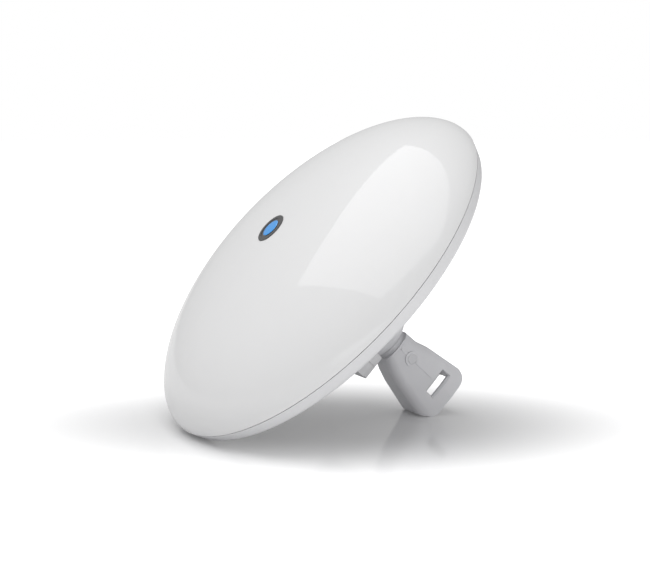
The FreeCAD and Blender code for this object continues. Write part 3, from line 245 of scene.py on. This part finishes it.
def dress_all():
    steel = metal("zinc_steel", (0.55, 0.55, 0.56), 0.34)
    aluminium = metal("spun_aluminium", (0.78, 0.78, 0.79), 0.28, brushed=0.2)
    dress("radome", glossy_dome())
    shell = moulded("shell_plastic", SHELL_WHITE, 0.38, grain=0.15, mottle=0.01, coat=0.25)
    dress("rear_shell", shell)
    badge = moulded("badge_plastic", (0.014, 0.014, 0.016), 0.2, grain=0.03, coat=0.7)
    dress("front_badge", badge)
    dress("radome_seal", rubber("seal_rubber", (0.16, 0.16, 0.16)))
    arm = moulded("arm_plastic", GREY, 0.46, grain=0.3)
    for node in ("pole_mount", "lock_nut"):
        dress(node, arm)
    dress("cross_pin", moulded("pin_plastic", near(GREY, 0.93), 0.42))
    dress("ball_stud", moulded("ball_plastic", near(GREY, 0.8), 0.35, grain=0.1))
    housing = moulded("housing_plastic", HOUSING_GREY, 0.44, grain=0.3)
    for node in ("rear_housing", "port_cover"):
        dress(node, housing)
    nylon = moulded("glass_filled_nylon", (0.05, 0.05, 0.052), 0.55, grain=0.5, mottle=0.12)
    dress("clamp_ring", nylon)
    dress("ball_seat", moulded("acetal", (0.72, 0.72, 0.68), 0.32, grain=0.08))
    dress("vent_plug", moulded("vent_plastic", (0.035, 0.035, 0.037), 0.5))
    dress("cable_grommet", rubber("grommet_rubber", (0.03, 0.03, 0.03)))
    for node in ("reflector_screws", "housing_screws", "board_screws"):
        dress(node, steel)
    for node in ("dish_reflector", "feed_tube", "sub_reflector", "heat_spreader"):
        dress(node, aluminium)
    dress("lock_washer", metal("stainless", (0.62, 0.62, 0.62), 0.25, brushed=0.3))
    dress("feed_cone", moulded("dielectric", (0.80, 0.80, 0.76), 0.4, grain=0.1))
    dress("main_board", board_mask())
    dress("rf_shield", metal("tinned_can", (0.70, 0.70, 0.70), 0.32))
    dress("heat_pad", rubber("pad_silicone", (0.20, 0.25, 0.38)))
    dress("ethernet_jack", metal("nickel", (0.66, 0.66, 0.64), 0.27, brushed=0.2))
    dress("reset_switch", moulded("switch_plastic", (0.02, 0.02, 0.02), 0.5))
    dress("reset_button", moulded("button_plastic", (0.05, 0.05, 0.052), 0.4))
    dress("status_leds", clear("led_epoxy", (0.80, 0.90, 0.75)))
    dress("light_pipes", clear("acrylic", (0.92, 0.95, 0.95)))


# ---- detail pieces, drawn in the antenna's frame in mm: x sideways, y up the pole, z forward ----
FRAME = (Matrix.Translation(SEAM) @ Matrix((SIDE, POLE_UP, BORESIGHT)).transposed().to_4x4()
         @ Matrix.Scale(MM, 4))


def add_piece(name, shape, body, material, bevel=0.0):
    """Places a drawn shape as a piece that rides on a body; bevel is in mm."""
    bmesh.ops.recalc_face_normals(shape, faces=shape.faces)
    bmesh.ops.transform(shape, matrix=FRAME, verts=shape.verts)
    mesh = bpy.data.meshes.new(name)
    shape.to_mesh(mesh)
    shape.free()
    for polygon in mesh.polygons:
        polygon.use_smooth = True
    piece = bpy.data.objects.new(name, mesh)
    bpy.context.scene.collection.objects.link(piece)
    if bevel:
        edge = piece.modifiers.new("bevel", "BEVEL")
        edge.width = bevel * MM
        edge.segments = 2
        edge.harden_normals = True
    mesh.materials.append(material)
    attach(piece, body)
    return piece


def lathe(shape, outline, steps=144):
    """Turns a closed outline of (radius, z) corners about the boresight."""
    rings = []
    for i in range(steps):
        a = 2 * math.pi * i / steps
        rings.append([shape.verts.new((r * math.cos(a), r * math.sin(a), z)) for r, z in outline])
    count = len(outline)
    for i in range(steps):
        here, there = rings[i], rings[(i + 1) % steps]
        for j in range(count):
            k = (j + 1) % count
            shape.faces.new((here[j], there[j], there[k], here[k]))


def block(shape, x, y, z, size_x, size_y, size_z):
    """A box with its middle at x, y, z."""
    place = Matrix.Translation((x, y, z)) @ Matrix.Diagonal((size_x, size_y, size_z, 1))
    bmesh.ops.create_cube(shape, size=1.0, matrix=place)


WIRE_SLANT = 0.4            # how far the wire's section also reaches along z


def rod(shape, path, half):
    """A thin square wire along a path of points in one plane of constant x."""
    rings = []
    for x, y, z in path:
        rings.append([shape.verts.new((x + sx * half, y + sy * half, z + sy * half * WIRE_SLANT))
                      for sx, sy in ((-1, -1), (1, -1), (1, 1), (-1, 1))])
    for a, b in zip(rings, rings[1:]):
        for j in range(4):
            k = (j + 1) % 4
            shape.faces.new((a[j], b[j], b[k], a[k]))
    shape.faces.new(rings[0])
    shape.faces.new(rings[-1])


SHELL_BACK = -17.8          # the shell's back at its middle, and how far it has risen at the rim
SHELL_RISE = 11.2
RIM_RADIUS = 92.3


def shell_back(r):
    """z of the rear shell's back at radius r, in mm."""
    return SHELL_BACK + SHELL_RISE * (r / RIM_RADIUS) ** 2


BADGE_FACE = 31.25          # the badge's face along the boresight
DOT_RADIUS = 4.55
DOT_CROWN = 0.12
DOT_SUNK = 0.05
DOT_STEPS = 8
PIN_POINT = 0.001           # a radius of nearly nothing, so the lathe closes on the axis


def add_badge_dot():
    """A slightly crowned blue dot on the badge's dark face."""
    shape = bmesh.new()
    under = BADGE_FACE - DOT_SUNK
    outline = [(PIN_POINT, under), (DOT_RADIUS, under)]
    for i in range(DOT_STEPS + 1):
        r = DOT_RADIUS * (1 - i / DOT_STEPS)
        outline.append((max(r, PIN_POINT), BADGE_FACE + DOT_CROWN * (1 - (r / DOT_RADIUS) ** 4)))
    lathe(shape, outline)
    bmesh.ops.remove_doubles(shape, verts=shape.verts, dist=10 * PIN_POINT)
    gloss = moulded("dot_gloss", (0.02, 0.30, 0.78), 0.18, grain=0.02, coat=0.6)
    add_piece("badge_dot", shape, "antenna", gloss)


BEADS = (("back_bead_inner", 52.0), ("back_bead_outer", 74.0))
BEAD_SECTION = ((-0.9, -0.3), (-0.7, 0.25), (-0.3, 0.55), (0.3, 0.55), (0.7, 0.25), (0.9, -0.3))
BEAD_STEPS = 192
MARK_LOW = 79.0             # the mark is a triangle that points to the upper side of the rim
MARK_HIGH = 85.0
MARK_HALF = 3.6
MARK_SUNK = 1.0
MARK_PROUD = 0.5
MARK_TAPER = 0.9
MARK_BEVEL = 0.2


def add_back_beads(plastic):
    """Two raised rings that stiffen the shell's plain back."""
    for name, middle in BEADS:
        shape = bmesh.new()
        outline = [(middle + out, shell_back(middle + out) - lift) for out, lift in BEAD_SECTION]
        lathe(shape, outline, BEAD_STEPS)
        add_piece(name, shape, "antenna", plastic)


def add_upper_mark(plastic):
    """A small raised triangle that shows which side of the antenna goes up."""
    shape = bmesh.new()
    base = shell_back(MARK_LOW) + MARK_SUNK
    corners = [(-MARK_HALF, MARK_LOW), (MARK_HALF, MARK_LOW), (0, MARK_HIGH)]
    under = [shape.verts.new((x, y, base)) for x, y in corners]
    over = []
    for x, y in corners:
        over.append(shape.verts.new((x * MARK_TAPER, y, shell_back(math.hypot(x, y)) - MARK_PROUD)))
    shape.faces.new(under)
    shape.faces.new(over)
    for j in range(3):
        k = (j + 1) % 3
        shape.faces.new((under[j], under[k], over[k], over[j]))
    add_piece("upper_side_mark", shape, "antenna", plastic, MARK_BEVEL)


LABEL_COLUMNS = 24
LABEL_ROWS = 12
LABEL_HALF_WIDE = 14.0
LABEL_HALF_TALL = 5.0
LABEL_CORNER = 1.5
LABEL_MIDDLE = 43.0
LABEL_LIFT = 0.08
LABEL_THICK = 0.12


def label_point(u, v):
    """Where a label point goes, with u and v from -1 to 1, after its corners are rounded."""
    x = u * LABEL_HALF_WIDE
    y = v * LABEL_HALF_TALL
    over_x = abs(x) - LABEL_HALF_WIDE + LABEL_CORNER
    over_y = abs(y) - LABEL_HALF_TALL + LABEL_CORNER
    if over_x > 0 and over_y > 0:
        pull = LABEL_CORNER / max(LABEL_CORNER, math.hypot(over_x, over_y))
        x = math.copysign(LABEL_HALF_WIDE - LABEL_CORNER + over_x * pull, x)
        y = math.copysign(LABEL_HALF_TALL - LABEL_CORNER + over_y * pull, y)
    y += LABEL_MIDDLE
    return x, y, shell_back(math.hypot(x, y)) - LABEL_LIFT


def add_blank_label():
    """An empty white label that follows the shell's curved back."""
    shape = bmesh.new()
    grid = []
    for j in range(LABEL_ROWS + 1):
        v = 2 * j / LABEL_ROWS - 1
        line = []
        for i in range(LABEL_COLUMNS + 1):
            line.append(shape.verts.new(label_point(2 * i / LABEL_COLUMNS - 1, v)))
        grid.append(line)
    for low, high in zip(grid, grid[1:]):
        for i in range(LABEL_COLUMNS):
            shape.faces.new((low[i], low[i + 1], high[i + 1], high[i]))
    film = moulded("label_film", (0.80, 0.80, 0.79), 0.30, grain=0.04, coat=0.3)
    label = add_piece("blank_label", shape, "antenna", film)
    thick = label.modifiers.new("thick", "SOLIDIFY")
    thick.thickness = LABEL_THICK * MM


# the jack's socket, open at its lower end
JACK_LOW = -22.4
JACK_MIDDLE = -24.8
SOCKET_HALF_X = 5.85
SOCKET_HALF_Z = 4.15
SOCKET_TOP = JACK_LOW + 11.35
LINER_WALL = 0.25
LINER_LENGTH = 10.0
LINER_SETBACK = 5.2         # the liner's middle below the socket's top
LINER_BEVEL = 0.05
CONTACTS = 8
CONTACT_PITCH = 1.02
CONTACT_HALF = 0.2
# one contact's bend, as (above the socket's mouth, from the socket's middle)
CONTACT_BEND = ((10.8, -3.6), (3.0, -3.4), (2.2, -2.9), (3.4, -2.0), (9.5, -0.6))


def add_jack_contacts():
    gold = metal("contact_gold", (0.83, 0.62, 0.22), 0.22)
    shape = bmesh.new()
    for i in range(CONTACTS):
        x = (i - (CONTACTS - 1) / 2) * CONTACT_PITCH
        rod(shape, [(x, JACK_LOW + up, JACK_MIDDLE + back) for up, back in CONTACT_BEND], CONTACT_HALF)
    add_piece("jack_contacts", shape, "antenna", gold)


def add_jack_liner():
    """The black plastic inside the jack's metal shell: an end wall, two sides and a floor."""
    shape = bmesh.new()
    middle_y = SOCKET_TOP - LINER_SETBACK
    full_z = 2 * SOCKET_HALF_Z
    block(shape, 0, SOCKET_TOP - LINER_WALL / 2, JACK_MIDDLE, 2 * SOCKET_HALF_X, LINER_WALL, full_z)
    for side in (-1, 1):
        side_x = side * (SOCKET_HALF_X - LINER_WALL / 2)
        block(shape, side_x, middle_y, JACK_MIDDLE, LINER_WALL, LINER_LENGTH, full_z)
    floor_z = JACK_MIDDLE - SOCKET_HALF_Z + LINER_WALL / 2
    inner = 2 * SOCKET_HALF_X - 2 * LINER_WALL
    block(shape, 0, middle_y, floor_z, inner, LINER_LENGTH, LINER_WALL)
    black = moulded("liner_black", (0.015, 0.015, 0.016), 0.42)
    add_piece("jack_liner", shape, "antenna", black, LINER_BEVEL)


BOARD_BACK = -21.0
# x, y, width, height and thickness of each chip
CHIPS = ((-14.2, 6.6, 4.6, 6.2, 1.1), (14.0, 8.8, 4.2, 3.4, 0.9), (0.0, 14.6, 6.4, 4.2, 1.0),
         (-11.6, -6.4, 3.2, 2.6, 0.8), (11.4, -6.6, 2.8, 2.0, 0.8), (0.0, -7.2, 6.0, 3.0, 0.9))
CHIP_BEVEL = 0.1
PIN_PITCH = 0.65
PIN_OUT = 0.25
PIN_RISE = 0.2
PIN_SIZE = (0.6, 0.26, 0.2)
# x and y of each small capacitor
CAPACITORS = ((-7.4, 13.2), (-7.4, 16.0), (7.4, 13.2), (7.4, 16.0), (16.6, 12.2), (-16.6, 12.4),
              (12.2, 5.2), (16.0, 5.2), (-17.4, 1.2), (17.4, 1.2), (-9.6, -9.4), (9.6, -9.2))
CAPACITOR_SIZE = (0.8, 1.5, 0.55)
CAPACITOR_RISE = 0.35
CAPACITOR_BEVEL = 0.05
CHOKES = ((14.0, 5.4), (-5.0, -7.0))
CHOKE_SIZE = (2.4, 2.4, 1.7)
CHOKE_RISE = 0.9
CHOKE_BEVEL = 0.25


def add_board_parts():
    """Chips with their pins, small capacitors and chokes on the back of the board."""
    chips, terminals, chokes = bmesh.new(), bmesh.new(), bmesh.new()
    for x, y, wide, tall, thick in CHIPS:
        block(chips, x, y, BOARD_BACK - thick / 2, wide, tall, thick)
        pins = int(tall / PIN_PITCH)
        for i in range(pins):
            pin_y = y + (i - (pins - 1) / 2) * PIN_PITCH
            for side in (-1, 1):
                pin_x = x + side * (wide / 2 + PIN_OUT)
                block(terminals, pin_x, pin_y, BOARD_BACK - PIN_RISE, *PIN_SIZE)
    for x, y in CAPACITORS:
        block(terminals, x, y, BOARD_BACK - CAPACITOR_RISE, *CAPACITOR_SIZE)
    for x, y in CHOKES:
        block(chokes, x, y, BOARD_BACK - CHOKE_RISE, *CHOKE_SIZE)
    epoxy = moulded("chip_epoxy", (0.018, 0.018, 0.02), 0.5)
    add_piece("board_chips", chips, "antenna", epoxy, CHIP_BEVEL)
    tinned = metal("tinned", (0.72, 0.72, 0.70), 0.3)
    add_piece("board_terminals", terminals, "antenna", tinned, CAPACITOR_BEVEL)
    ferrite = moulded("ferrite", (0.10, 0.10, 0.11), 0.6)
    add_piece("board_chokes", chokes, "antenna", ferrite, CHOKE_BEVEL)


# ---- studio ----
def emitter(name, size_x, size_y, place, aim, radiance):
    """A rectangular area light at place that faces aim."""
    data = bpy.data.lights.new(name, "AREA")
    data.shape = "RECTANGLE"
    data.size = size_x
    data.size_y = size_y
    data.energy = radiance * math.pi * size_x * size_y
    light = bpy.data.objects.new(name, data)
    bpy.context.scene.collection.objects.link(light)
    light.location = place
    light.rotation_mode = "QUATERNION"
    light.rotation_quaternion = (Vector(aim) - Vector(place)).to_track_quat("-Z", "Y")
    return light


def make_world(strength, backdrop):
    """Soft grey light all round; the camera sees a white backdrop."""
    world = bpy.data.worlds.new("studio")
    world.use_nodes = True
    tree = world.node_tree
    tree.nodes.clear()
    output = tree.nodes.new("ShaderNodeOutputWorld")
    soft = tree.nodes.new("ShaderNodeBackground")
    soft.inputs["Color"].default_value = (1, 1, 1, 1)
    soft.inputs["Strength"].default_value = strength
    white = tree.nodes.new("ShaderNodeBackground")
    white.inputs["Strength"].default_value = backdrop
    white.inputs["Color"].default_value = (1, 1, 1, 1)
    path = tree.nodes.new("ShaderNodeLightPath")
    mix = tree.nodes.new("ShaderNodeMixShader")
    tree.links.new(path.outputs["Is Camera Ray"], mix.inputs["Fac"])
    tree.links.new(soft.outputs[0], mix.inputs[1])
    tree.links.new(white.outputs[0], mix.inputs[2])
    tree.links.new(mix.outputs[0], output.inputs["Surface"])
    bpy.context.scene.world = world


SKY_STRENGTH = 0.47
BACKDROP_STRENGTH = 1.0
FLOOR_RADIUS = 6.0
FLOOR_COLOUR = (0.70, 0.70, 0.705, 1)
FLOOR_GLOSS = (0.10, 0.14)
GLOW_START = 0.05           # the floor's painted glow rises between these distances, out of a painted shadow pool near the object
GLOW_END = 0.25
GLOW_NEAR = 0.03
GLOW_FAR = 0.85
GLOW_UNSEEN = 0.45          # the share of the painted glow that lights and mirrors in the object
POOL_DEPTH = 0.6            # the painted shadow pool is an ellipse, this much shallower than wide


def make_floor():
    """A glossy white table with a painted glow: its emission is low near the object, a painted shadow
    pool, and rises away from it into the white backdrop.
    """
    mesh = bpy.data.meshes.new("floor")
    shape = bmesh.new()
    bmesh.ops.create_circle(shape, cap_ends=True, segments=96, radius=FLOOR_RADIUS)
    shape.to_mesh(mesh)
    shape.free()
    floor = bpy.data.objects.new("floor", mesh)
    bpy.context.scene.collection.objects.link(floor)
    shader = Shader("floor_gloss")
    shader.set(specular=0.5)
    shader.surface.inputs["Base Color"].default_value = FLOOR_COLOUR
    shader.surface.inputs["Emission Color"].default_value = (1, 1, 1, 1)
    turned = shader.node("ShaderNodeMapping", Vector=shader.place)
    turned.vector_type = "TEXTURE"
    turned.inputs["Rotation"].default_value = (0, 0, VIEW_AZIMUTH)
    turned.inputs["Scale"].default_value = (1, POOL_DEPTH, 1)
    # painted light and shade: the emission is lowest close to the object, a painted shadow pool, and
    # glows white farther off
    away = shader.node("ShaderNodeVectorMath", Vector=turned.outputs["Vector"])
    away.operation = "LENGTH"
    glow = shader.node("ShaderNodeMapRange", Value=away.outputs["Value"])
    glow.interpolation_type = "SMOOTHSTEP"
    glow.inputs["From Min"].default_value = GLOW_START
    glow.inputs["From Max"].default_value = GLOW_END
    glow.inputs["To Min"].default_value = GLOW_NEAR
    glow.inputs["To Max"].default_value = GLOW_FAR
    seen = shader.node("ShaderNodeLightPath").outputs["Is Camera Ray"]
    share = shader.node("ShaderNodeMapRange", Value=seen)
    share.inputs["To Min"].default_value = GLOW_UNSEEN
    glow_seen = shader.node("ShaderNodeMath")
    glow_seen.operation = "MULTIPLY"
    shader.tree.links.new(glow.outputs["Result"], glow_seen.inputs[0])
    shader.tree.links.new(share.outputs["Result"], glow_seen.inputs[1])
    shader.tree.links.new(glow_seen.outputs[0], shader.surface.inputs["Emission Strength"])
    shader.rough(shader.span(shader.noise(3.0), *FLOOR_GLOSS))
    mesh.materials.append(shader.material)


STUDIO_MIDDLE = Vector((0, 0, 0.07))
SOFTBOX_OFFSET = Vector((-0.12, -0.44, 1.2))
SOFTBOX_SIZE = (2.2, 1.33)
SOFTBOX_RADIANCE = 2.0
STRIP_OFFSET = Vector((0.8, -0.45, -0.02))
STRIP_AIM = Vector((0, 0, -0.03))
STRIP_SIZE = (0.7, 0.16)
STRIP_RADIANCE = 2.0
NECK_BEHIND = 55            # where the arm's neck is behind the seam, in mm
FILL_OFFSET = Vector((0.27, 0.10, 0.0))
FILL_SIZE = (0.10, 0.10)
FILL_RADIANCE = 2.4
STRAIGHT_DOWN = (1, 0, 0, 0)


def make_studio():
    """A large softbox overhead, a low strip in front and a small fill beside the arm's neck."""
    bpy.context.scene.view_settings.view_transform = "Standard"
    make_world(SKY_STRENGTH, BACKDROP_STRENGTH)
    make_floor()
    top = STUDIO_MIDDLE + SOFTBOX_OFFSET
    softbox = emitter("top_softbox", *SOFTBOX_SIZE, top, STUDIO_MIDDLE, SOFTBOX_RADIANCE)
    softbox.rotation_quaternion = STRAIGHT_DOWN
    low = STUDIO_MIDDLE + STRIP_OFFSET
    emitter("low_strip", *STRIP_SIZE, low, STUDIO_MIDDLE + STRIP_AIM, STRIP_RADIANCE)
    neck = at_antenna(0, 0, -NECK_BEHIND)
    emitter("neck_fill", *FILL_SIZE, neck + FILL_OFFSET, neck, FILL_RADIANCE)


make_camera()
make_studio()
dress_all()
add_badge_dot()
bead_plastic = moulded("bead_plastic", SHELL_WHITE, 0.38, grain=0.15, mottle=0.01, coat=0.2)
add_back_beads(bead_plastic)
add_upper_mark(bead_plastic)
add_blank_label()
add_jack_contacts()
add_jack_liner()
add_board_parts()
